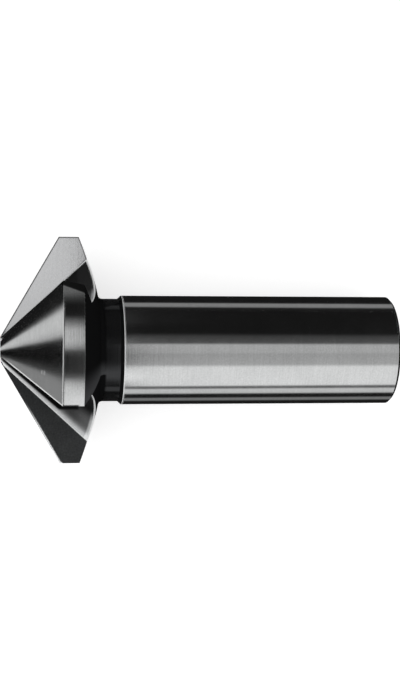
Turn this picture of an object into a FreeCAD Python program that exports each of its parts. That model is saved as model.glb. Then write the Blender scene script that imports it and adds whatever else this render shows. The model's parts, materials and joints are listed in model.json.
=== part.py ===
# Three-flute 120 degree countersink bit in one piece: cone, margin, back cone, neck and straight shank.
# Millimetres. The body is drawn tip down on its own +Z axis and laid on its side by its placement.
# Lying down: +X runs from the tip to the shank, +Z is up, z = 0 is the surface it rests on.
import FreeCAD
import Part
import Sketcher
import os

NODE = "countersink_bit"
FLAT = "FlatFace"
LEAST_CUT = 0.1
SAME_POINT = 1e-6

# Driving sizes, lengths in mm and angles in degrees
SIZES = (
    ("headdia", "25"),
    ("shankdia", "12"),
    ("neckdia", "11.3"),
    ("tipdia", "2.9"),
    ("coneangle", "120"),
    ("marginlen", "2.2"),
    ("backangle", "17"),
    ("backsag", "0.155"),
    ("necklen", "2.1"),
    ("shoulderlen", "0.36"),
    ("overall", "43.4"),
    ("endchamfer", "0.3"),
    ("neckradius", "0.5"),
    ("flutecount", "3"),
    ("landangle", "60"),
    ("creasetip", "1.37"),
    ("creaseangle", "42.5"),
    ("hollowratio", "0.096"),
    ("heelskew", "14"),
    ("conerelief", "0.25"),
    ("rimrelief", "0.1"),
    ("clearance", "1"),
)

# Sizes that follow from the driving ones
DERIVED = (
    ("headr", "=headdia / 2"),
    ("shankr", "=shankdia / 2"),
    ("neckr", "=neckdia / 2"),
    ("tipr", "=tipdia / 2"),
    ("conetan", "=tan(coneangle / 2)"),
    ("conelen", "=(headr - tipr) / conetan"),
    ("marginend", "=conelen + marginlen"),
    ("backdrop", "=headr - neckr"),
    ("backlen", "=backdrop * tan(backangle)"),
    ("backend", "=marginend + backlen"),
    ("backradius", "=(backdrop * backdrop + backlen * backlen) / (8 * backsag) + backsag / 2"),
    ("neckpos", "=backend + necklen"),
    ("shankstart", "=neckpos + shoulderlen"),
    ("chamferstart", "=overall - endchamfer"),
    ("endr", "=shankr - endchamfer"),
    ("fluteangle", "=360 / flutecount - landangle"),
    ("halfflute", "=fluteangle / 2"),
    ("reliefspan", "=landangle + fluteangle"),
    ("coneeccr", "=tipr - conerelief / 2"),
    ("outerr", "=headr + clearance"),
    ("conecutend", "=(outerr - coneeccr) / conetan"),
    ("rimeccr", "=headr - rimrelief / 2"),
    ("rimcutstart", "=conelen - clearance"),
    ("rimcutend", "=marginend + clearance"),
    ("frontpos", "=-clearance"),
    ("rearpos", "=backend + clearance"),
    ("creasetan", "=tan(creaseangle)"),
    ("frontcrease", "=creasetip + frontpos * creasetan"),
    ("rearcrease", "=creasetip + rearpos * creasetan"),
    ("halfsin", "=sin(halfflute)"),
    ("halfcos", "=cos(halfflute)"),
    ("bottomratio", "=(halfsin * halfsin + hollowratio * hollowratio) / (2 * hollowratio)"),
    ("fluteouter", "=outerr / halfcos"),
    ("heelslope", "=tan(heelskew)"),
    ("heelgain", "=heelslope / conetan"),
    ("heelbase", "=heelslope * marginlen - heelgain * tipr"),
    ("fronthigh", "=heelbase - heelslope * frontpos + heelgain * frontcrease"),
    ("frontedge", "=heelbase - heelslope * frontpos + heelgain * fluteouter"),
    ("rearhigh", "=heelbase - heelslope * rearpos + heelgain * rearcrease"),
    ("rearedge", "=heelbase - heelslope * rearpos + heelgain * fluteouter"),
    ("heelr", "=headr - rimrelief"),
    ("restroll", "=-atan((headr - heelr) / (headr + heelr) / tan(halfflute)) / 1 deg"),
    ("headdepth", "=headr * cos(halfflute - restroll)"),
    ("resttilt", "=atan((headdepth - shankr) / (chamferstart - marginend)) / 1 deg"),
    ("tipheight", "=marginend * sin(resttilt) + headdepth * cos(resttilt)"),
    ("endreach", "=overall * cos(resttilt) + endr * sin(resttilt)"),
    ("tipreach", "=creasetip * halfcos * sin(resttilt)"),
)


def make_sheet(doc):
    """Put every size in the sheet under its own name."""
    sheet = doc.addObject("Spreadsheet::Sheet", "sizes")
    for row, (alias, text) in enumerate(SIZES + DERIVED, start=1):
        cell = "A" + str(row)
        sheet.set(cell, text)
        sheet.setAlias(cell, alias)
    doc.recompute()
    return sheet


def origin_item(body, role):
    """Return the body's own origin plane or axis with this role."""
    for item in body.Origin.OriginFeatures:
        if item.Role == role:
            return item
    raise ValueError("no origin item " + role)


def new_sketch(body, name, role):
    """Add a sketch on one of the body's own origin planes."""
    sketch = body.newObject("Sketcher::SketchObject", name)
    sketch.AttachmentSupport = [(origin_item(body, role), "")]
    sketch.MapMode = FLAT
    return sketch


def pin_point(sketch, line, across, along, label):
    """Tie the start of a line to sheet values: distance across from the axis, then along it."""
    for kind, axis, value in (("DistanceX", "X", across), ("DistanceY", "Y", along)):
        if value == "0":
            on_axis = -2 if axis == "X" else -1
            sketch.addConstraint(Sketcher.Constraint("PointOnObject", line, 1, on_axis))
            continue
        start = sketch.Geometry[line].StartPoint
        now = start.x if axis == "X" else start.y
        index = sketch.addConstraint(Sketcher.Constraint(kind, -1, 1, line, 1, now))
        name = label + axis
        sketch.renameConstraint(index, name)
        sketch.setExpression("Constraints." + name, "sizes." + value)


def closed_profile(sketch, sheet, corners):
    """Draw a closed outline through corners given as two sheet aliases and a label each."""
    def number(alias):
        return 0.0 if alias == "0" else float(sheet.get(alias))

    points = [FreeCAD.Vector(number(across), number(along), 0) for across, along, _ in corners]
    count = len(points)
    for index, point in enumerate(points):
        sketch.addGeometry(Part.LineSegment(point, points[(index + 1) % count]), False)
    for index in range(count):
        sketch.addConstraint(Sketcher.Constraint("Coincident", index, 2, (index + 1) % count, 1))
    for index, (across, along, label) in enumerate(corners):
        pin_point(sketch, index, across, along, label)


def bow_side(sketch, sheet, side, sag, radius):
    """Turn one straight side of an outline into an outward arc with this height and radius."""
    line = sketch.Geometry[side]
    start, end = line.StartPoint, line.EndPoint
    chord = end - start
    outward = FreeCAD.Vector(-chord.y, chord.x, 0).normalize() * -float(sheet.get(sag))
    sketch.setConstruction(side, True)
    arc = sketch.addGeometry(Part.Arc(start, (start + end) / 2 + outward, end), False)
    same_way = sketch.Geometry[arc].StartPoint.isEqual(start, SAME_POINT)
    ends = (1, 2) if same_way else (2, 1)
    sketch.addConstraint(Sketcher.Constraint("Coincident", arc, ends[0], side, 1))
    sketch.addConstraint(Sketcher.Constraint("Coincident", arc, ends[1], side, 2))
    index = sketch.addConstraint(Sketcher.Constraint("Radius", arc, float(sheet.get(radius))))
    sketch.renameConstraint(index, radius)
    sketch.setExpression("Constraints." + radius, "sizes." + radius)


def circle_edge(shape, radius, height):
    """Name the round edge with this radius at this height on the axis."""
    tol = 1e-4
    for index, edge in enumerate(shape.Edges, start=1):
        curve = edge.Curve
        if isinstance(curve, Part.Circle) and abs(curve.Radius - radius) < tol:
            if abs(curve.Center.z - height) < tol:
                return "Edge" + str(index)
    raise ValueError("no round edge at this radius and height")


def make_blank(doc, body, sheet):
    """Turn the whole tool: tip flat, cone, margin, back cone, neck, shoulder, shank, end chamfer."""
    sketch = new_sketch(body, "blank_profile", "XZ_Plane")
    corners = (
        ("0", "0", "axis_tip"),
        ("tipr", "0", "tip_edge"),
        ("headr", "conelen", "cone_edge"),
        ("headr", "marginend", "margin_edge"),
        ("neckr", "backend", "neck_root"),
        ("neckr", "neckpos", "neck_end"),
        ("shankr", "shankstart", "shoulder"),
        ("shankr", "chamferstart", "shank_end"),
        ("endr", "overall", "end_face"),
        ("0", "overall", "axis_end"),
    )
    closed_profile(sketch, sheet, corners)
    back_side = [label for _, _, label in corners].index("margin_edge")
    bow_side(sketch, sheet, back_side, "backsag", "backradius")
    doc.recompute()
    blank = body.newObject("PartDesign::Revolution", "turned_blank")
    blank.Profile = sketch
    blank.ReferenceAxis = (sketch, ["V_Axis"])
    blank.Angle = 360
    doc.recompute()
    fillet = body.newObject("PartDesign::Fillet", "neck_fillet")
    fillet.Base = (blank, [circle_edge(blank.Shape, sheet.get("neckr"), sheet.get("backend"))])
    fillet.setExpression("Radius", "sizes.neckradius")
    doc.recompute()
    return fillet


def make_relief(doc, body, sheet, name, amount, corners):
    """Cut one land back from its cutting edge to its heel about an axis set off the tool's own."""
    sketch = new_sketch(body, name + "_profile", "XZ_Plane")
    sketch.AttachmentOffset = FreeCAD.Placement(FreeCAD.Vector(), FreeCAD.Rotation(FreeCAD.Vector(0, 1, 0), 1))
    sketch.setExpression("AttachmentOffset.Base.x", "sizes." + amount + " * cos(sizes.landangle)")
    sketch.setExpression("AttachmentOffset.Base.z", "-sizes." + amount + " * sin(sizes.landangle)")
    sketch.setExpression("AttachmentOffset.Rotation.Angle", "-sizes.landangle / 2")
    closed_profile(sketch, sheet, corners)
    doc.recompute()
    groove = body.newObject("PartDesign::Groove", name)
    groove.Profile = sketch
    groove.ReferenceAxis = (sketch, ["V_Axis"])
    groove.Midplane = True
    groove.setExpression("Angle", "sizes.reliefspan")
    doc.recompute()
    return groove


def flute_section(body, sheet, place):
    """Draw the flute across the axis: rake wall, leaning heel wall and the hollow bottom between them.

    The sketch's own X axis is the radius at the heel, and the rake wall stands a flute angle before it.
    The heel wall stands ahead of that radius on the cone and meets it where the margin ends.
    """
    height, crease, high, edge = (place + part for part in ("pos", "crease", "high", "edge"))
    sketch = new_sketch(body, "flute_" + place, "XY_Plane")
    turn = FreeCAD.Rotation(FreeCAD.Vector(0, 0, 1), float(sheet.fluteangle))
    sketch.AttachmentOffset = FreeCAD.Placement(FreeCAD.Vector(0, 0, float(sheet.get(height))), turn)
    sketch.setExpression("AttachmentOffset.Base.z", "sizes." + height)
    sketch.setExpression("AttachmentOffset.Rotation.Angle", "sizes.fluteangle")

    inside, outside = "sizes." + crease, "sizes.fluteouter"
    to_rake, across_rake = " * cos(sizes.fluteangle)", " * sin(sizes.fluteangle)"
    corners = (
        ("rake_crease", inside + to_rake, "-" + inside + across_rake),
        ("rake_outer", outside + to_rake, "-" + outside + across_rake),
        ("heel_outer", outside, "-sizes." + edge),
        ("heel_crease", inside, "-sizes." + high),
    )
    turned = FreeCAD.Rotation(FreeCAD.Vector(0, 0, 1), -float(sheet.fluteangle))
    inner = float(sheet.get(crease))
    outer = float(sheet.fluteouter)
    points = (
        turned.multVec(FreeCAD.Vector(inner, 0, 0)),
        turned.multVec(FreeCAD.Vector(outer, 0, 0)),
        FreeCAD.Vector(outer, -float(sheet.get(edge)), 0),
        FreeCAD.Vector(inner, -float(sheet.get(high)), 0),
    )
    for index in range(3):
        sketch.addGeometry(Part.LineSegment(points[index], points[index + 1]), False)
    rake, heel = points[0], points[3]
    chord = heel - rake
    radius = inner * float(sheet.bottomratio)
    depth = radius - (radius * radius - chord.Length * chord.Length / 4) ** 0.5
    inward = FreeCAD.Vector(-chord.y, chord.x, 0).normalize() * depth
    sketch.addGeometry(Part.Arc(heel, (rake + heel) / 2 + inward, rake), False)
    for first, second in ((0, 1), (1, 2)):
        sketch.addConstraint(Sketcher.Constraint("Coincident", first, 2, second, 1))
    forward = sketch.Geometry[3].StartPoint.isEqual(heel, SAME_POINT)
    heel_end, rake_end = (1, 2) if forward else (2, 1)
    sketch.addConstraint(Sketcher.Constraint("Coincident", 2, 2, 3, heel_end))
    sketch.addConstraint(Sketcher.Constraint("Coincident", 3, rake_end, 0, 1))
    spots = ((0, 1), (1, 1), (2, 1), (2, 2))
    for (label, across, along), point, spot in zip(corners, points, spots):
        for kind, value, expression in (("DistanceX", point.x, across), ("DistanceY", point.y, along)):
            index = sketch.addConstraint(Sketcher.Constraint(kind, -1, 1, *spot, value))
            constraint = label + kind[-1]
            sketch.renameConstraint(index, constraint)
            sketch.setExpression("Constraints." + constraint, expression)
    index = sketch.addConstraint(Sketcher.Constraint("Radius", 3, radius))
    sketch.renameConstraint(index, "bottom")
    sketch.setExpression("Constraints.bottom", "sizes." + crease + " * sizes.bottomratio")
    return sketch


def make_flute(doc, body, sheet):
    """Loft one flute from a small section before the tip to a large one behind the head."""
    front = flute_section(body, sheet, "front")
    rear = flute_section(body, sheet, "rear")
    doc.recompute()
    flute = body.newObject("PartDesign::SubtractiveLoft", "flute")
    flute.Profile = front
    flute.Sections = [rear]
    flute.Ruled = True
    doc.recompute()
    return flute


def make_pattern(doc, body, cuts):
    """Repeat the relief and the flute around the axis, one set for each tooth."""
    pattern = body.newObject("PartDesign::PolarPattern", "teeth")
    pattern.Originals = cuts
    pattern.Axis = (origin_item(body, "Z_Axis"), [""])
    pattern.Angle = 360
    pattern.setExpression("Occurrences", "sizes.flutecount")
    body.Tip = pattern
    doc.recompute()
    return pattern


def lay_down(doc, body):
    """Lay the tool on two teeth and on the shank's end, as it comes to rest."""
    turns = (
        "rotation(vector(0; 1; 0); sizes.resttilt)",
        "rotation(vector(1; 1; 1); 120)",
        "rotation(vector(0; 0; 1); sizes.restroll)",
    )
    base = "vector((sizes.tipreach - sizes.endreach) / 2; -sizes.rimrelief / 2; sizes.tipheight)"
    body.setExpression("Placement", "placement(" + base + "; " + " * ".join(turns) + ")")
    doc.recompute()


def check_cut(before, feature):
    """Stop when a cutting feature has taken nothing away."""
    if before.Shape.Volume - feature.Shape.Volume < LEAST_CUT:
        raise ValueError(feature.Name + " cuts nothing")


def build():
    """Model the bit and write its STEP file."""
    doc = FreeCAD.newDocument("countersink")
    sheet = make_sheet(doc)
    body = doc.addObject("PartDesign::Body", NODE)
    body.Label = NODE
    blank = make_blank(doc, body, sheet)
    flute = make_flute(doc, body, sheet)
    check_cut(blank, flute)
    cone_relief = make_relief(doc, body, sheet, "cone_relief", "conerelief", (
        ("coneeccr", "0", "tip_inner"),
        ("outerr", "conecutend", "cone_outer"),
        ("outerr", "frontpos", "front_outer"),
        ("coneeccr", "frontpos", "front_inner"),
    ))
    check_cut(flute, cone_relief)
    rim_relief = make_relief(doc, body, sheet, "rim_relief", "rimrelief", (
        ("rimeccr", "rimcutstart", "start_inner"),
        ("outerr", "rimcutstart", "start_outer"),
        ("outerr", "rimcutend", "end_outer"),
        ("rimeccr", "rimcutend", "end_inner"),
    ))
    check_cut(cone_relief, rim_relief)
    teeth = make_pattern(doc, body, [flute, cone_relief, rim_relief])
    check_cut(rim_relief, teeth)
    lay_down(doc, body)

    for item in doc.Objects:
        if "Invalid" in item.State or "Error" in item.State:
            raise ValueError(item.Name + " did not recompute")
    shape = body.Shape
    if shape.isNull() or not shape.isValid() or len(shape.Solids) != 1:
        raise ValueError("the bit is not one valid solid")
    os.makedirs("parts", exist_ok=True)
    shape.exportStep(os.path.join("parts", body.Label + ".step"))
    print("volume", round(shape.Volume, 1), "faces", len(shape.Faces))


build()
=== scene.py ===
import json
import math

import bpy
from mathutils import Matrix, Vector

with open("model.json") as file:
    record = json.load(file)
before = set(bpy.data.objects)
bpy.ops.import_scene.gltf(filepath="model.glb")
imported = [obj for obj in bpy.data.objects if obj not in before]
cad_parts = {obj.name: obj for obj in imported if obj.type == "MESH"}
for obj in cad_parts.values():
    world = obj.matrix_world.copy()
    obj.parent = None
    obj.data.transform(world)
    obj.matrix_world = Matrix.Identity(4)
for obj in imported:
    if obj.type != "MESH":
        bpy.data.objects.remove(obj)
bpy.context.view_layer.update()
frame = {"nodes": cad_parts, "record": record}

scene = bpy.context.scene
scene.view_settings.view_transform = "Standard"

NODE = "countersink_bit"
MM = 0.001

# Lengths along the tool from its tip, and radii and slopes, as the solid has them
CONE_END = 6.38 * MM
MARGIN_END = 8.58 * MM
BACK_END = 10.674 * MM
NECK_END = 12.774 * MM
SHANK_START = 13.134 * MM
TIP_R = 1.45 * MM
HEAD_R = 12.45 * MM
NECK_R = 5.65 * MM
CONE_SLOPE = math.tan(math.radians(60))
BACK_SLOPE = math.tan(math.radians(17))
HEEL_LEAN = math.tan(math.radians(14))
# Turns round the tool: from one cutting edge to the next, across a flute, and half across a tooth
EDGE_TO_EDGE = math.radians(120)
FLUTE_ANGLE = math.radians(60)
HALF_TOOTH = math.radians(30)

# The tool's own line in the frame, from its shank mount
shank = frame["record"]["mounts"][0]
SHANK_LENGTH = shank["dims"]["length_mm"] * MM
AXIS = Vector(shank["axis"]).normalized()
MIDDLE = Vector(shank["pos_m"])
TILT = math.atan2(-AXIS.z, AXIS.x)
TIP = MIDDLE - AXIS * (SHANK_START + SHANK_LENGTH / 2)


# Node helpers

BEVEL_SAMPLES = 8
BUMP_DEPTH = 0.02 * MM


def grey(level):
    return (level, level, level, 1.0)


class Nodes:
    """The node tree of a material or a world, with short ways to add and join its nodes."""

    def __init__(self, name, data=None):
        self.data = data or bpy.data.materials.new(name)
        self.data.use_nodes = True
        self.tree = self.data.node_tree
        self.shader = self.tree.nodes.get("Principled BSDF")

    def add(self, kind, **settings):
        node = self.tree.nodes.new(kind)
        for key, value in settings.items():
            setattr(node, key, value)
        return node

    def link(self, source, target):
        self.tree.links.new(source, target)

    def put(self, socket, value):
        if isinstance(value, bpy.types.NodeSocket):
            self.link(value, socket)
        else:
            socket.default_value = value

    def math(self, operation, *values):
        node = self.add("ShaderNodeMath", operation=operation)
        for socket, value in zip(node.inputs, values):
            self.put(socket, value)
        return node.outputs[0]

    def vector(self, operation, *values):
        """A vector math node. Its result is its first output, or its Value where that is a number."""
        node = self.add("ShaderNodeVectorMath", operation=operation)
        for socket, value in zip(node.inputs, values):
            self.put(socket, value)
        return node

    def parts(self, vector):
        """The X, Y and Z of a vector."""
        split = self.add("ShaderNodeSeparateXYZ")
        self.link(vector, split.inputs[0])
        return split.outputs

    def mix(self, factor, first, second, kind="FLOAT"):
        node = self.add("ShaderNodeMix", data_type=kind)
        slots = {"FLOAT": (0, 2, 3), "RGBA": (0, 6, 7)}[kind]
        for slot, value in zip(slots, (factor, first, second)):
            self.put(node.inputs[slot], value)
        return node.outputs[2 if kind == "RGBA" else 0]

    def steps(self, value, start, end):
        """A soft step from 0 at the start to 1 at the end, which may be the smaller value."""
        node = self.add("ShaderNodeMapRange", interpolation_type="SMOOTHSTEP")
        self.put(node.inputs["Value"], value)
        node.inputs["From Min"].default_value = start
        node.inputs["From Max"].default_value = end
        return node.outputs[0]

    def ramp(self, factor, stops):
        node = self.add("ShaderNodeValToRGB")
        band = node.color_ramp
        while len(band.elements) < len(stops):
            band.elements.new(1.0)
        for element, (place, level) in zip(band.elements, stops):
            element.position = place
            element.color = grey(level)
        self.link(factor, node.inputs["Fac"])
        return node.outputs["Color"]

    def angle_ramp(self, angle, stops, low=-180.0, high=180.0):
        """A ramp over an angle in radians, with its stops in degrees."""
        share = self.math("MULTIPLY_ADD", angle, math.degrees(1) / (high - low), -low / (high - low))
        return self.ramp(share, tuple(((place - low) / (high - low), level) for place, level in stops))

    def noise(self, vector, scale, detail, roughness):
        node = self.add("ShaderNodeTexNoise")
        node.inputs["Scale"].default_value = scale
        node.inputs["Detail"].default_value = detail
        node.inputs["Roughness"].default_value = roughness
        self.link(vector, node.inputs["Vector"])
        return node.outputs["Fac"]

    def bevel(self, radius):
        """The surface's direction as if its edges were rounded."""
        node = self.add("ShaderNodeBevel", samples=BEVEL_SAMPLES)
        node.inputs["Radius"].default_value = radius
        return node.outputs["Normal"]

    def bump(self, height, strength, normal):
        node = self.add("ShaderNodeBump")
        node.inputs["Strength"].default_value = strength
        node.inputs["Distance"].default_value = BUMP_DEPTH
        self.link(height, node.inputs["Height"])
        self.link(normal, node.inputs["Normal"])
        return node.outputs["Normal"]

    def true_normal(self):
        return self.add("ShaderNodeNewGeometry").outputs["Normal"]

    def object_place(self):
        return self.add("ShaderNodeTexCoord").outputs["Object"]

    def tool_place(self):
        """Place on the tool, with X along it from the tip."""
        mapping = self.add("ShaderNodeMapping", vector_type="TEXTURE")
        mapping.inputs["Location"].default_value = TIP
        mapping.inputs["Rotation"].default_value = (0.0, TILT, 0.0)
        self.link(self.object_place(), mapping.inputs["Vector"])
        return mapping.outputs["Vector"]

    def seen(self):
        """1 where a ray only looks: from the camera, in a mirror or through glass. 0 for light."""
        path = self.add("ShaderNodeLightPath")
        beyond = self.math("MAXIMUM", path.outputs["Is Glossy Ray"], path.outputs["Is Transmission Ray"])
        return self.math("MAXIMUM", beyond, path.outputs["Is Camera Ray"])


# Steel: what all finishes share

def place_round(n, place):
    """Distance along the tool, distance from its line, and the angle past the cutting edge before it."""
    along, y, z = n.parts(place)
    radius = n.math("SQRT", n.math("MULTIPLY_ADD", y, y, n.math("MULTIPLY", z, z)))
    angle = n.math("FLOORED_MODULO", n.math("ARCTAN2", z, y), EDGE_TO_EDGE)
    return along, radius, angle


# Noise scales are per metre. The rings are drawn out round the tool.
RING_SCALES = (7000.0, 250.0, 250.0)
RING_NOISE = {"scale": 1.0, "detail": 3.0, "roughness": 0.6}
GRAIN_NOISE = {"scale": 5500.0, "detail": 2.0, "roughness": 0.6}
BLOTCH_NOISE = {"scale": 350.0, "detail": 3.0, "roughness": 0.55}
# The blotch value that leaves the colour as it is
BLOTCH_MIDDLE = 0.75
# How far two directions agree, as a cosine, where an edge begins and where it shows in full
EDGE_TURN = (0.998, 0.97)
# Painted edge lines: a painted highlight, which also colours the nick, and a painted dark reflection, both
# less metallic and rougher than the steel
PAINTED_EDGE_HIGHLIGHT_AND_NICK = (0.92, 0.93, 0.93, 1.0)
PAINTED_EDGE_DARK_REFLECTION = (0.02, 0.02, 0.021, 1.0)
EDGE_METALLIC = 0.2
EDGE_ROUGHNESS = 0.5


def steel(name, color, roughness, metallic=1.0, specular=0.5, shade=0.12, speckle=0.2, spread=0.06,
          ring_bump=0.1, grain_bump=0.0, round_edge=0.05, edge=0.0, painted_edge_width=0.18,
          painted_edge_and_nick_color=PAINTED_EDGE_HIGHLIGHT_AND_NICK, painted_edge_share=None, mark=None, paint=None):
    """Steel with fine rings round the tool, a fine grain, blotches, a nick where given, and painted edge
    lines: painted highlights on most edges and painted dark reflections on some.

    Edge widths are in mm, and edge is the strength of the painted edge lines. The functions among the
    arguments work a value out from the place.
    """
    n = Nodes(name)
    place = n.tool_place()
    rings = n.noise(n.vector("MULTIPLY", place, RING_SCALES).outputs[0], **RING_NOISE)
    grain = n.noise(place, **GRAIN_NOISE)
    blotch = n.noise(place, **BLOTCH_NOISE)

    worn = n.math("MULTIPLY_ADD", blotch, shade, 1.0 - shade * BLOTCH_MIDDLE)
    worn = n.math("MULTIPLY", worn, n.math("MULTIPLY_ADD", rings, shade, 1.0 - shade / 2))
    worn = n.math("MULTIPLY", worn, n.math("MULTIPLY_ADD", grain, speckle, 1.0 - speckle / 2))
    painted = n.vector("MULTIPLY", paint(n, place), color).outputs[0] if paint else color
    base = n.vector("SCALE", painted)
    n.link(worn, base.inputs["Scale"])

    # Painted edge lines: where the rounded direction turns from the true one, the colour goes to the edge
    # colour, a painted highlight on most finishes and a painted dark reflection on the cutting faces and
    # the margin's side of the cone's corner; the nick is mixed in the same way
    turn = n.vector("DOT_PRODUCT", n.bevel(painted_edge_width * MM), n.true_normal()).outputs["Value"]
    painted_edge_lines_and_nick = n.math("MULTIPLY", n.steps(turn, *EDGE_TURN), edge)
    if painted_edge_share:
        painted_edge_lines_and_nick = n.math("MULTIPLY", painted_edge_lines_and_nick, painted_edge_share(n, place))
    if mark:
        painted_edge_lines_and_nick = n.math("MAXIMUM", painted_edge_lines_and_nick, mark(n, place))

    painted_edge_and_nick_tone = painted_edge_and_nick_color(n, place) if callable(painted_edge_and_nick_color) else painted_edge_and_nick_color
    metal = metallic(n, place) if callable(metallic) else metallic
    rough = n.math("MULTIPLY_ADD", blotch, spread, roughness - spread / 2)
    inputs = n.shader.inputs
    n.link(n.mix(painted_edge_lines_and_nick, base.outputs[0], painted_edge_and_nick_tone, "RGBA"), inputs["Base Color"])
    n.link(n.mix(painted_edge_lines_and_nick, metal, EDGE_METALLIC), inputs["Metallic"])
    n.link(n.mix(painted_edge_lines_and_nick, rough, EDGE_ROUGHNESS), inputs["Roughness"])
    inputs["Specular IOR Level"].default_value = specular

    ringed = n.bump(rings, ring_bump, n.bevel(round_edge * MM))
    n.link(n.bump(grain, grain_bump, ringed), inputs["Normal"])
    return n.data


# Ground steel: the cone, the margin and the shank

# Where the painted edge highlights come in or go out: past the heel, in radians, then along the tool past
# the tip, before the margin's end, and before and after the shank's start
EDGES_PAST_HEEL = (FLUTE_ANGLE + 0.10, FLUTE_ANGLE + 0.35)
EDGES_PAST_TIP = (0.1 * MM, 1.5 * MM)
EDGES_BEFORE_END = (MARGIN_END - 0.4 * MM, MARGIN_END - 0.7 * MM)
EDGES_TO_SHANK = (SHANK_START - 0.3 * MM, SHANK_START - 0.2 * MM)
EDGES_OFF_SHANK = (SHANK_START + 0.5 * MM, SHANK_START + 0.3 * MM)


def ground_painted_edges(n, place):
    """Where painted highlights show along sharp edges: the cutting edges, the cone's corner and the shank's
    start.
    """
    along, _, angle = place_round(n, place)
    head = n.math("MULTIPLY", n.steps(angle, *EDGES_PAST_HEEL), n.steps(along, *EDGES_BEFORE_END))
    head = n.math("MULTIPLY", head, n.steps(along, *EDGES_PAST_TIP))
    start = n.math("MULTIPLY", n.steps(along, *EDGES_TO_SHANK), n.steps(along, *EDGES_OFF_SHANK))
    return n.math("MAXIMUM", head, start)


# The margin's side of the cone's corner, where the edge line is a painted dark reflection: it looks forward
# less than the cone does
LOOKS_OUTWARD = (0.6, 0.3)
UP_TO_MARGIN_END = (MARGIN_END + 0.2 * MM, MARGIN_END)


def ground_painted_edge_and_nick_color(n, place):
    """Painted highlights on edges and the nick's light colour, but a painted dark reflection on the
    margin's side of the cone's corner.
    """
    along = place_round(n, place)[0]
    forward = n.vector("DOT_PRODUCT", n.true_normal(), tuple(-AXIS)).outputs["Value"]
    on_margin = n.math("MULTIPLY", n.steps(forward, *LOOKS_OUTWARD), n.steps(along, *UP_TO_MARGIN_END))
    return n.mix(on_margin, PAINTED_EDGE_HIGHLIGHT_AND_NICK, PAINTED_EDGE_DARK_REFLECTION, "RGBA")


# The dark strip on the margin beside the heel: its turn past the heel grows along the margin
STRIP_START = math.radians(-0.2)
STRIP_SLOPE = math.radians(2.0) / MM
STRIP_FADE = math.radians(0.4)
STRIP_SHADE = 0.06
BEFORE_MARGIN = (CONE_END, CONE_END - 0.1 * MM)
PAST_MARGIN = (MARGIN_END + 0.1 * MM, MARGIN_END + 0.3 * MM)


def margin_color(n, place):
    """Bright, but for the dark strip beside the heel that widens along the margin."""
    along, _, angle = place_round(n, place)
    strip = n.math("MULTIPLY_ADD", along, STRIP_SLOPE, FLUTE_ANGLE + STRIP_START - STRIP_SLOPE * CONE_END)
    past_strip = n.steps(n.math("SUBTRACT", angle, strip), -STRIP_FADE, STRIP_FADE)
    off_margin = n.math("MAXIMUM", n.steps(along, *BEFORE_MARGIN), n.steps(along, *PAST_MARGIN))
    return n.mix(n.math("MAXIMUM", past_strip, off_margin), STRIP_SHADE, 1.0)


# A small nick in the cone: the middle of each stroke and its half sizes, in mm on the tool
NICK = (((4.32, -2.62, 8.55), (0.09, 0.24, 0.5)), ((4.57, -2.72, 8.85), (0.11, 0.32, 0.5)))
NICK_LEVEL = 0.28
# In half sizes from the middle
NICK_FADE = (1.2, 0.5)


def nick(n, place):
    """Short light strokes where the cone's surface was struck."""
    level = 0.0
    for middle, half in NICK:
        away = n.vector("SUBTRACT", place, tuple(value * MM for value in middle)).outputs[0]
        away = n.vector("DIVIDE", away, tuple(value * MM for value in half)).outputs[0]
        distance = n.vector("LENGTH", away).outputs["Value"]
        level = n.math("MAXIMUM", n.steps(distance, *NICK_FADE), level)
    return n.math("MULTIPLY", level, NICK_LEVEL)


def ground_steel():
    return steel("ground_steel", (0.80, 0.81, 0.81), 0.11, shade=0.18, speckle=0.25, spread=0.04,
                 ring_bump=0.06, round_edge=0.015, edge=1.0, painted_edge_width=0.34,
                 painted_edge_and_nick_color=ground_painted_edge_and_nick_color, painted_edge_share=ground_painted_edges, mark=nick, paint=margin_color)


# Cutting faces: light and even, with a painted dark reflection along the outline

# A line on the cutting face between its outer edge and the flute: its radius at the tip, and its slope
RAKE_MIDDLE_R = 1.2 * MM
RAKE_MIDDLE_SLOPE = 1.15
RAKE_OUTER_HALF = (RAKE_MIDDLE_R, RAKE_MIDDLE_R + 0.2 * MM)
RAKE_REAR = (MARGIN_END - 0.3 * MM, MARGIN_END + 0.1 * MM)


def rake_painted_dark_outline(n, place):
    """Where the painted dark reflection runs: the outline of the cutting face, without its inner side along
    the flute.
    """
    along, radius, _ = place_round(n, place)
    height = n.math("MULTIPLY_ADD", along, -RAKE_MIDDLE_SLOPE, radius)
    return n.math("MAXIMUM", n.steps(height, *RAKE_OUTER_HALF), n.steps(along, *RAKE_REAR))


def cutting_face_steel():
    return steel("cutting_face_steel", (0.87, 0.875, 0.885), 0.08, shade=0.08, spread=0.04,
                 ring_bump=0.05, grain_bump=0.05, edge=0.9, painted_edge_width=0.3, painted_edge_and_nick_color=PAINTED_EDGE_DARK_REFLECTION,
                 painted_edge_share=rake_painted_dark_outline)


# Heels: dark and grainy, with a painted highlight line near the cone's surface

# How far under the cone's surface, as a radius at the tip, and how far along
HEEL_NEAR_CONE = (TIP_R - 0.9 * MM, TIP_R - 0.6 * MM)
HEEL_PAST_FRONT = (2.5 * MM, 4.5 * MM)


def heel_painted_highlight(n, place):
    """Where the painted highlight line runs: near the cone's surface, towards the margin."""
    along, radius, _ = place_round(n, place)
    cone = n.math("MULTIPLY_ADD", along, -CONE_SLOPE, radius)
    return n.math("MULTIPLY", n.steps(cone, *HEEL_NEAR_CONE), n.steps(along, *HEEL_PAST_FRONT))


def heel_steel():
    return steel("heel_steel", (0.045, 0.047, 0.048), 0.45, metallic=0.6, shade=0.35, speckle=1.2,
                 grain_bump=0.15, edge=1.0, painted_edge_width=0.3, painted_edge_share=heel_painted_highlight)


# Flutes: a painted reflection, light beside the heel and dark across the rest

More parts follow.
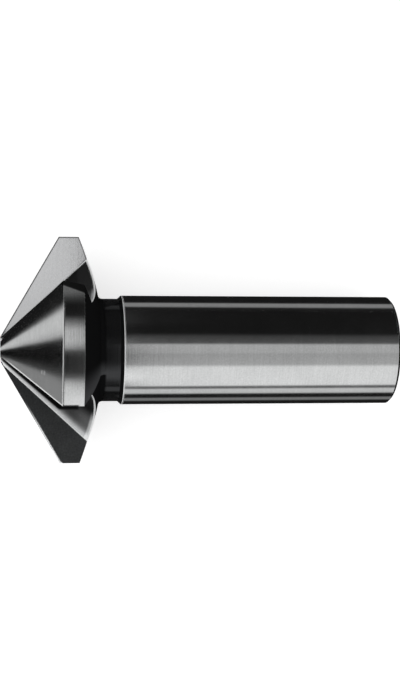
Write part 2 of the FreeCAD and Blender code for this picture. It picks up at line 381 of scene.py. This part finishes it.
# Beside the cutting face the painted edge highlight shows only on the rear part of the flute's edge
FLUTE_PAST_FACE = (math.radians(6), math.radians(14))
FLUTE_REAR_PART = (4.5 * MM, 6.5 * MM)
# The heel wall leans. It meets its plane through the tool's line at the margin's end.
WALL_START = HEEL_LEAN * ((MARGIN_END - CONE_END) - TIP_R / CONE_SLOPE)
# The painted reflection's levels go by shares of a width, from the heel, that grows along the flute
BAND_WIDTH_AT_TIP = 4.5 * MM
BAND_WIDTH_SLOPE = 0.47
FLUTE_PAINTED_REFLECTION = ((0.0, 0.80), (0.05, 0.72), (0.08, 0.50), (0.10, 0.30), (0.13, 0.16), (0.16, 0.09),
              (0.20, 0.06), (0.30, 0.055), (0.38, 0.03), (0.50, 0.008))
# A painted shadow: a dark line beside the tooth behind, and where along the flute it ends
PAINTED_SHADOW_LINE = (0.15 * MM, 0.45 * MM)
PAINTED_SHADOW_END = (MARGIN_END - 0.4 * MM, MARGIN_END)
# Painted light on the flute's rear, a painted highlight line along its end, and how far from the heel both
# reach
REAR = (MARGIN_END - 1.0 * MM, MARGIN_END + 0.8 * MM)
REAR_PAINTED_LIGHT = 0.07
REAR_HIGHLIGHT_LINE = (0.45 * MM, 0.20 * MM)
REAR_PAINTED_HIGHLIGHT = 0.40
REAR_SHARE = (0.55, 0.30)


def flute_painted_highlights(n, place):
    """Where painted highlights run: every edge of the flute, but beside the cutting face only its rear
    part.
    """
    along, _, angle = place_round(n, place)
    return n.math("MAXIMUM", n.steps(angle, *FLUTE_PAST_FACE), n.steps(along, *FLUTE_REAR_PART))


def share_from_heel(n, along, radius, angle):
    """Distance from the leaning heel wall, as a share of the band's width."""
    before_heel = n.math("SUBTRACT", FLUTE_ANGLE, angle)
    up = n.math("MULTIPLY", radius, n.math("COSINE", before_heel))
    wall = n.math("MULTIPLY_ADD", along, -HEEL_LEAN, WALL_START)
    wall = n.math("MULTIPLY_ADD", up, HEEL_LEAN / CONE_SLOPE, wall)
    away = n.math("SUBTRACT", n.math("MULTIPLY", radius, n.math("SINE", before_heel)), wall)
    return n.math("DIVIDE", away, n.math("MULTIPLY_ADD", along, BAND_WIDTH_SLOPE, BAND_WIDTH_AT_TIP))


def clear_of_painted_shadow(n, along, radius, angle):
    """0 in the painted shadow beside the tooth behind, measured square to that tooth's middle."""
    edge_radius = n.math("MINIMUM", n.math("MULTIPLY_ADD", along, CONE_SLOPE, TIP_R), HEAD_R)
    aside = n.math("MULTIPLY", radius, n.math("SINE", n.math("ADD", angle, HALF_TOOTH)))
    past_edge = n.math("MULTIPLY_ADD", edge_radius, -math.sin(HALF_TOOTH), aside)
    return n.math("MAXIMUM", n.steps(past_edge, *PAINTED_SHADOW_LINE), n.steps(along, *PAINTED_SHADOW_END))


def rear_painted_light(n, along, radius, share):
    """Painted light on the rear, with a painted highlight line beside the edge in which the flute leaves
    the back.
    """
    light = n.math("MULTIPLY", n.steps(along, *REAR), REAR_PAINTED_LIGHT)
    before_back = n.math("MULTIPLY_ADD", radius, -BACK_SLOPE, MARGIN_END + HEAD_R * BACK_SLOPE)
    before_back = n.math("SUBTRACT", before_back, along)
    light = n.math("MULTIPLY_ADD", n.steps(before_back, *REAR_HIGHLIGHT_LINE), REAR_PAINTED_HIGHLIGHT, light)
    return n.math("MULTIPLY", light, n.steps(share, *REAR_SHARE))


def flute_painted_reflection(n, place):
    """Painted reflection: light beside the heel and dark across the rest, with painted light at the rear
    and a painted shadow beside the tooth behind.
    """
    along, radius, angle = place_round(n, place)
    share = share_from_heel(n, along, radius, angle)
    light = n.math("ADD", n.ramp(share, FLUTE_PAINTED_REFLECTION), rear_painted_light(n, along, radius, share))
    return n.math("MULTIPLY", clear_of_painted_shadow(n, along, radius, angle), light)


def flute_steel():
    return steel("flute_steel", (0.98, 0.99, 1.0), 0.38, metallic=0.25, specular=0.15, speckle=0.5,
                 ring_bump=0.12, edge=0.9, painted_edge_width=0.42, painted_edge_share=flute_painted_highlights, paint=flute_painted_reflection)


# Back of the head and neck: dark, with painted shade and painted light on the back

# Levels of the back's painted shade and painted light, the turn over which the painted light comes in, and
# where the neck's own level starts
BACK_PAINTED_SHADE = 0.12
BACK_PAINTED_LIGHT = 1.1
BACK_PAINTED_LIGHT_PART = (math.radians(102), math.radians(119))
PAST_BACK = (BACK_END + 0.4 * MM, BACK_END + 0.7 * MM)
# The back is dull, and the neck mirrors
NECK_METAL = 0.85
NECK_METAL_START = (BACK_END + 0.3 * MM, BACK_END + 0.6 * MM)


def back_painted_shade_and_light(n, place):
    """Painted shade makes the back of each tooth darker than the neck, and painted light makes it lighter
    towards its cutting edge.
    """
    along, _, angle = place_round(n, place)
    back = n.mix(n.steps(angle, *BACK_PAINTED_LIGHT_PART), BACK_PAINTED_SHADE, BACK_PAINTED_LIGHT)
    return n.mix(n.steps(along, *PAST_BACK), back, 1.0)


def back_metal(n, place):
    along = place_round(n, place)[0]
    return n.math("MULTIPLY", n.steps(along, *NECK_METAL_START), NECK_METAL)


def dark_steel():
    return steel("dark_steel", (0.050, 0.051, 0.053), 0.08, metallic=back_metal, specular=0.0,
                 spread=0.03, ring_bump=0.05, paint=back_painted_shade_and_light)


# The shank's end face: faced, and duller than the ground shank

def shank_end_steel():
    return steel("shank_end_steel", (0.42, 0.425, 0.43), 0.45, metallic=0.6, shade=0.25, ring_bump=0.3)


# The tool

FINISHES = {"ground": ground_steel, "rake": cutting_face_steel, "heel": heel_steel, "dark": dark_steel,
            "end": shank_end_steel, "flute": flute_steel}
# How near counts as at a place, and as on the tool's line
NEAR = 0.02 * MM
ON_LINE = 0.001 * MM
# The rounded inner corner between back and neck, and how far relief draws the cone's corner forward
CORNER_ROUND = 0.6 * MM
RELIEF_ROOM = 0.2 * MM
# Cosines of a face's direction with the tool's line, outward, or round the tool
END_BACKWARD = 0.9
BACK_BACKWARD = 0.2
CONE_FORWARD = 0.8
CONE_ROUND = 0.35
WALL_ROUND = 0.85
MARGIN_OUTWARD = 0.97


def zone_of(center, normal):
    """The finish of a small face of the tool, from its place and its direction."""
    from_tip = center - TIP
    along = from_tip.dot(AXIS)
    out = from_tip - AXIS * along
    radius = out.length
    out = out.normalized() if radius > ON_LINE else Vector((0, 0, 1))
    outward = normal.dot(out)
    forward = -normal.dot(AXIS)
    turning = normal.dot(AXIS.cross(out))
    if along > SHANK_START - NEAR:
        return "end" if forward < -END_BACKWARD else "ground"
    if abs(turning) > WALL_ROUND:
        return "rake" if turning > 0 else "heel"
    if along > MARGIN_END - NEAR and forward < -BACK_BACKWARD:
        return "dark"
    if along > BACK_END - CORNER_ROUND and radius < NECK_R + CORNER_ROUND:
        return "dark"
    if forward > CONE_FORWARD and abs(turning) < CONE_ROUND:
        return "ground"
    if along > CONE_END - RELIEF_ROOM and outward > MARGIN_OUTWARD:
        return "ground"
    return "ground" if along < NEAR else "flute"


def dress_tool():
    names = list(FINISHES)
    bit = frame["nodes"][NODE]
    mesh = bit.data
    mesh.materials.clear()
    for finish in FINISHES.values():
        mesh.materials.append(finish())
    for polygon in mesh.polygons:
        polygon.material_index = names.index(zone_of(polygon.center, polygon.normal))


# Studio: cards that only the steel mirrors

def sheet_object(name, verts, faces, material):
    data = bpy.data.meshes.new(name)
    data.from_pydata(verts, [], faces)
    data.materials.append(material)
    sheet = bpy.data.objects.new(name, data)
    scene.collection.objects.link(sheet)
    return sheet


def level_sheet(name, low_x, high_x, low_y, high_y, z, material):
    verts = [(low_x, low_y, z), (high_x, low_y, z), (high_x, high_y, z), (low_x, high_y, z)]
    return sheet_object(name, verts, [(0, 1, 2, 3)], material)


def card_material(name, light):
    """A glowing card whose level comes from light(nodes)."""
    n = Nodes(name)
    n.tree.nodes.remove(n.shader)
    glow = n.add("ShaderNodeEmission")
    n.link(light(n), glow.inputs["Color"])
    n.link(glow.outputs[0], n.tree.nodes["Material Output"].inputs["Surface"])
    return n.data


def only_in_reflections(card):
    card.visible_camera = False
    card.visible_diffuse = False
    card.visible_shadow = False
    card.visible_volume_scatter = False


# The sky is half a tube over the tool
SKY_R = 0.7
SKY_HALF = 1.2
SKY_STEPS = 48
# Light by the angle from straight up towards +Y, in degrees
SHANK_SKY = ((-90, 0.10), (-86, 0.16), (-83, 0.82), (-39, 0.80), (-34, 0.44), (-11, 0.38), (-8, 0.45),
             (9, 0.47), (12, 0.09), (27, 0.05), (33, 0.009), (90, 0.009))
NECK_SKY = ((-90, 0.04), (-79, 0.06), (-72, 0.50), (-64, 1.0), (-53, 1.0), (-44, 0.55), (-37, 0.20),
            (-28, 0.06), (-15, 0.015), (20, 0.015), (35, 0.02), (90, 0.02))
HEAD_SKY = ((-90, 0.85), (-50, 0.77), (-38, 0.69), (-34, 0.57), (-28, 0.10), (-23, 0.0), (-7, 0.0),
            (-3, 0.05), (3, 0.50), (7, 0.62), (17, 0.62), (26, 0.19), (32, 0.012), (44, 0.008),
            (50, 0.05), (57, 0.16), (90, 0.14))
# Where the neck's and the shank's parts of the sky start, on borders that lean towards the shank's end
SKY_LEAN = 0.136
NECK_PART = (0.026, 0.032)
SHANK_PART = (0.046, 0.051)
# Far beyond both ends the sky is even
PAST_SHANK = (0.36, 0.46)
BEFORE_TIP = (-0.14, -0.24)
EVEN_LEVEL = 0.5


def sky_light(n):
    """Head, neck and shank each look at their own part of the sky."""
    x, y, z = n.parts(n.object_place())
    angle = n.math("ARCTAN2", y, z)
    over_shank = n.angle_ramp(angle, SHANK_SKY, -90, 90)
    over_head = n.angle_ramp(angle, HEAD_SKY, -90, 90)
    over_neck = n.angle_ramp(angle, NECK_SKY, -90, 90)
    toward = n.math("MULTIPLY_ADD", z, -SKY_LEAN, x)
    near_part = n.mix(n.steps(toward, *NECK_PART), over_head, over_neck, "RGBA")
    near_part = n.mix(n.steps(toward, *SHANK_PART), near_part, over_shank, "RGBA")
    aside = n.math("MAXIMUM", n.steps(x, *PAST_SHANK), n.steps(x, *BEFORE_TIP))
    return n.mix(aside, near_part, grey(EVEN_LEVEL), "RGBA")


def make_sky():
    verts = []
    for step in range(SKY_STEPS + 1):
        angle = math.pi * (step / SKY_STEPS - 0.5)
        for x in (-SKY_HALF, SKY_HALF):
            verts.append((x, SKY_R * math.sin(angle), SKY_R * math.cos(angle)))
    faces = [(2 * i, 2 * i + 1, 2 * i + 3, 2 * i + 2) for i in range(SKY_STEPS)]
    only_in_reflections(sheet_object("sky", verts, faces, card_material("sky", sky_light)))


# The cards lie on the floor, two along the tool's sides and one before its tip
CARD_Z = 0.1 * MM
CARD_HALF = 690 * MM
FRONT_END = -120 * MM
FRONT_EDGE = -30 * MM
SHANK_EDGE = 220 * MM
# Light by the angle from straight down away from the tool, in degrees
LIT_SIDE = ((0, 0.01), (37, 0.01), (43, 0.20), (53, 0.20), (57, 0.01), (70, 0.01), (75, 0.60),
            (86, 0.62), (88, 0.15), (90, 0.12))
FAR_SIDE = ((0, 0.01), (62, 0.01), (66, 0.25), (77, 0.25), (81, 0.015), (90, 0.01))
# Light by the angle round this point before the tip, from -X towards +Y, in degrees
FRONT_POINT = -38 * MM
FRONT = ((-180, 0.25), (-24, 0.27), (-20, 0.22), (-16, 0.06), (-10, 0.02), (-5, 0.005), (8.5, 0.005),
         (12, 0.48), (18, 0.62), (31, 0.63), (37, 0.09), (43, 0.01), (180, 0.01))
# Where on the tool a place on a side card shows: further aside it draws in and shifts towards the tip
SHIFT_ASIDE = 0.06
DRAW_IN_REACH = 0.15
# The tool's surface there, above its line and out from it
SEEN_UP = 2.5 * MM
SEEN_OUT = 5.5 * MM
# Beside the neck the side cards stay dark
NECK_FROM = TIP.x + AXIS.x * BACK_END
NECK_TO = TIP.x + AXIS.x * NECK_END
NECK_FADE = 0.2 * MM
NECK_SIDE = 0.02


def side_light(stops):
    def light(n):
        x, y, _ = n.parts(n.object_place())
        aside = n.math("ABSOLUTE", y)
        seen_x = n.math("DIVIDE", n.math("MULTIPLY_ADD", aside, -SHIFT_ASIDE, x),
                        n.math("MULTIPLY_ADD", aside, 1 / DRAW_IN_REACH, 1.0))
        height = n.math("MULTIPLY_ADD", seen_x, -math.tan(TILT),
                        MIDDLE.z + MIDDLE.x * math.tan(TILT) + SEEN_UP)
        angle = n.math("ARCTAN2", n.math("SUBTRACT", aside, SEEN_OUT), height)
        neck = n.math("MULTIPLY", n.steps(seen_x, NECK_FROM - NECK_FADE, NECK_FROM + NECK_FADE),
                      n.steps(seen_x, NECK_TO + NECK_FADE, NECK_TO - NECK_FADE))
        return n.mix(neck, n.angle_ramp(angle, stops, 0, 90), grey(NECK_SIDE), "RGBA")
    return light


def front_light(n):
    x, y, _ = n.parts(n.object_place())
    return n.angle_ramp(n.math("ARCTAN2", y, n.math("SUBTRACT", FRONT_POINT, x)), FRONT)


def floor_card(name, low_x, high_x, low_y, high_y, light):
    only_in_reflections(level_sheet(name, low_x, high_x, low_y, high_y, CARD_Z, card_material(name, light)))


def make_cards():
    floor_card("card_lit_side", FRONT_EDGE, SHANK_EDGE, -CARD_HALF, 0.0, side_light(LIT_SIDE))
    floor_card("card_far_side", FRONT_EDGE, SHANK_EDGE, 0.0, CARD_HALF, side_light(FAR_SIDE))
    floor_card("card_front", FRONT_END, FRONT_EDGE, -CARD_HALF, CARD_HALF, front_light)


# Studio: floor, world, lamp and camera

FLOOR_HALF = 3.0
FLOOR_COLOR = 0.65
FLOOR_ROUGHNESS = 0.9
FLOOR_SPECULAR = 0.1
FLOOR_GLOW = 0.58


def make_floor():
    """A pale floor that keeps the tool's shadow. Its own glow is only seen and lights nothing."""
    n = Nodes("floor")
    n.shader.inputs["Base Color"].default_value = grey(FLOOR_COLOR)
    n.shader.inputs["Roughness"].default_value = FLOOR_ROUGHNESS
    n.shader.inputs["Specular IOR Level"].default_value = FLOOR_SPECULAR
    glow = n.add("ShaderNodeEmission")
    n.link(n.math("MULTIPLY", n.seen(), FLOOR_GLOW), glow.inputs["Strength"])
    both = n.add("ShaderNodeAddShader")
    n.link(n.shader.outputs[0], both.inputs[0])
    n.link(glow.outputs[0], both.inputs[1])
    n.link(both.outputs[0], n.tree.nodes["Material Output"].inputs["Surface"])
    level_sheet("floor", -FLOOR_HALF, FLOOR_HALF, -FLOOR_HALF, FLOOR_HALF, 0.0, n.data)


WORLD_LIGHT = 0.7


def make_world():
    """White where it is seen, and a plain soft light otherwise."""
    n = Nodes("world", bpy.data.worlds.new("world"))
    back = n.tree.nodes["Background"]
    back.inputs["Color"].default_value = grey(1.0)
    n.link(n.math("MULTIPLY_ADD", n.seen(), 1.0 - WORLD_LIGHT, WORLD_LIGHT), back.inputs["Strength"])
    scene.world = n.data


LAMP_PLACE = (-0.04, -0.12, 0.48)
LAMP_LENGTH = 0.6
LAMP_WIDTH = 0.5
LAMP_WATTS = 1.0


def make_lamp():
    """A soft box above, which looks at the frame's origin and isn't mirrored."""
    lamp_data = bpy.data.lights.new("softbox", "AREA")
    lamp_data.shape = "RECTANGLE"
    lamp_data.size = LAMP_LENGTH
    lamp_data.size_y = LAMP_WIDTH
    lamp_data.energy = LAMP_WATTS
    lamp = bpy.data.objects.new("softbox", lamp_data)
    lamp.location = LAMP_PLACE
    lamp.rotation_euler = (-lamp.location).to_track_quat("-Z", "Y").to_euler()
    lamp.visible_glossy = False
    scene.collection.objects.link(lamp)


# Lens and sensor in mm, as cameras have them
LENS = 70.3
SENSOR = 36.0
CLIP_START = 0.01
CAMERA_PLACE = Vector((0.0, -0.00005, 0.161))
CAMERA_ROLL = math.radians(2.3)


def make_camera():
    """Straight above the tool, then turned about the tool's line by the roll."""
    camera_data = bpy.data.cameras.new("camera")
    camera_data.sensor_width = SENSOR
    camera_data.lens = LENS
    camera_data.clip_start = CLIP_START
    camera = bpy.data.objects.new("camera", camera_data)
    scene.collection.objects.link(camera)
    about = Matrix.Translation(MIDDLE) @ Matrix.Rotation(CAMERA_ROLL, 4, AXIS) @ Matrix.Translation(-MIDDLE)
    camera.matrix_world = about @ Matrix.Translation(CAMERA_PLACE)
    scene.camera = camera


dress_tool()
make_sky()
make_cards()
make_floor()
make_world()
make_lamp()
make_camera()
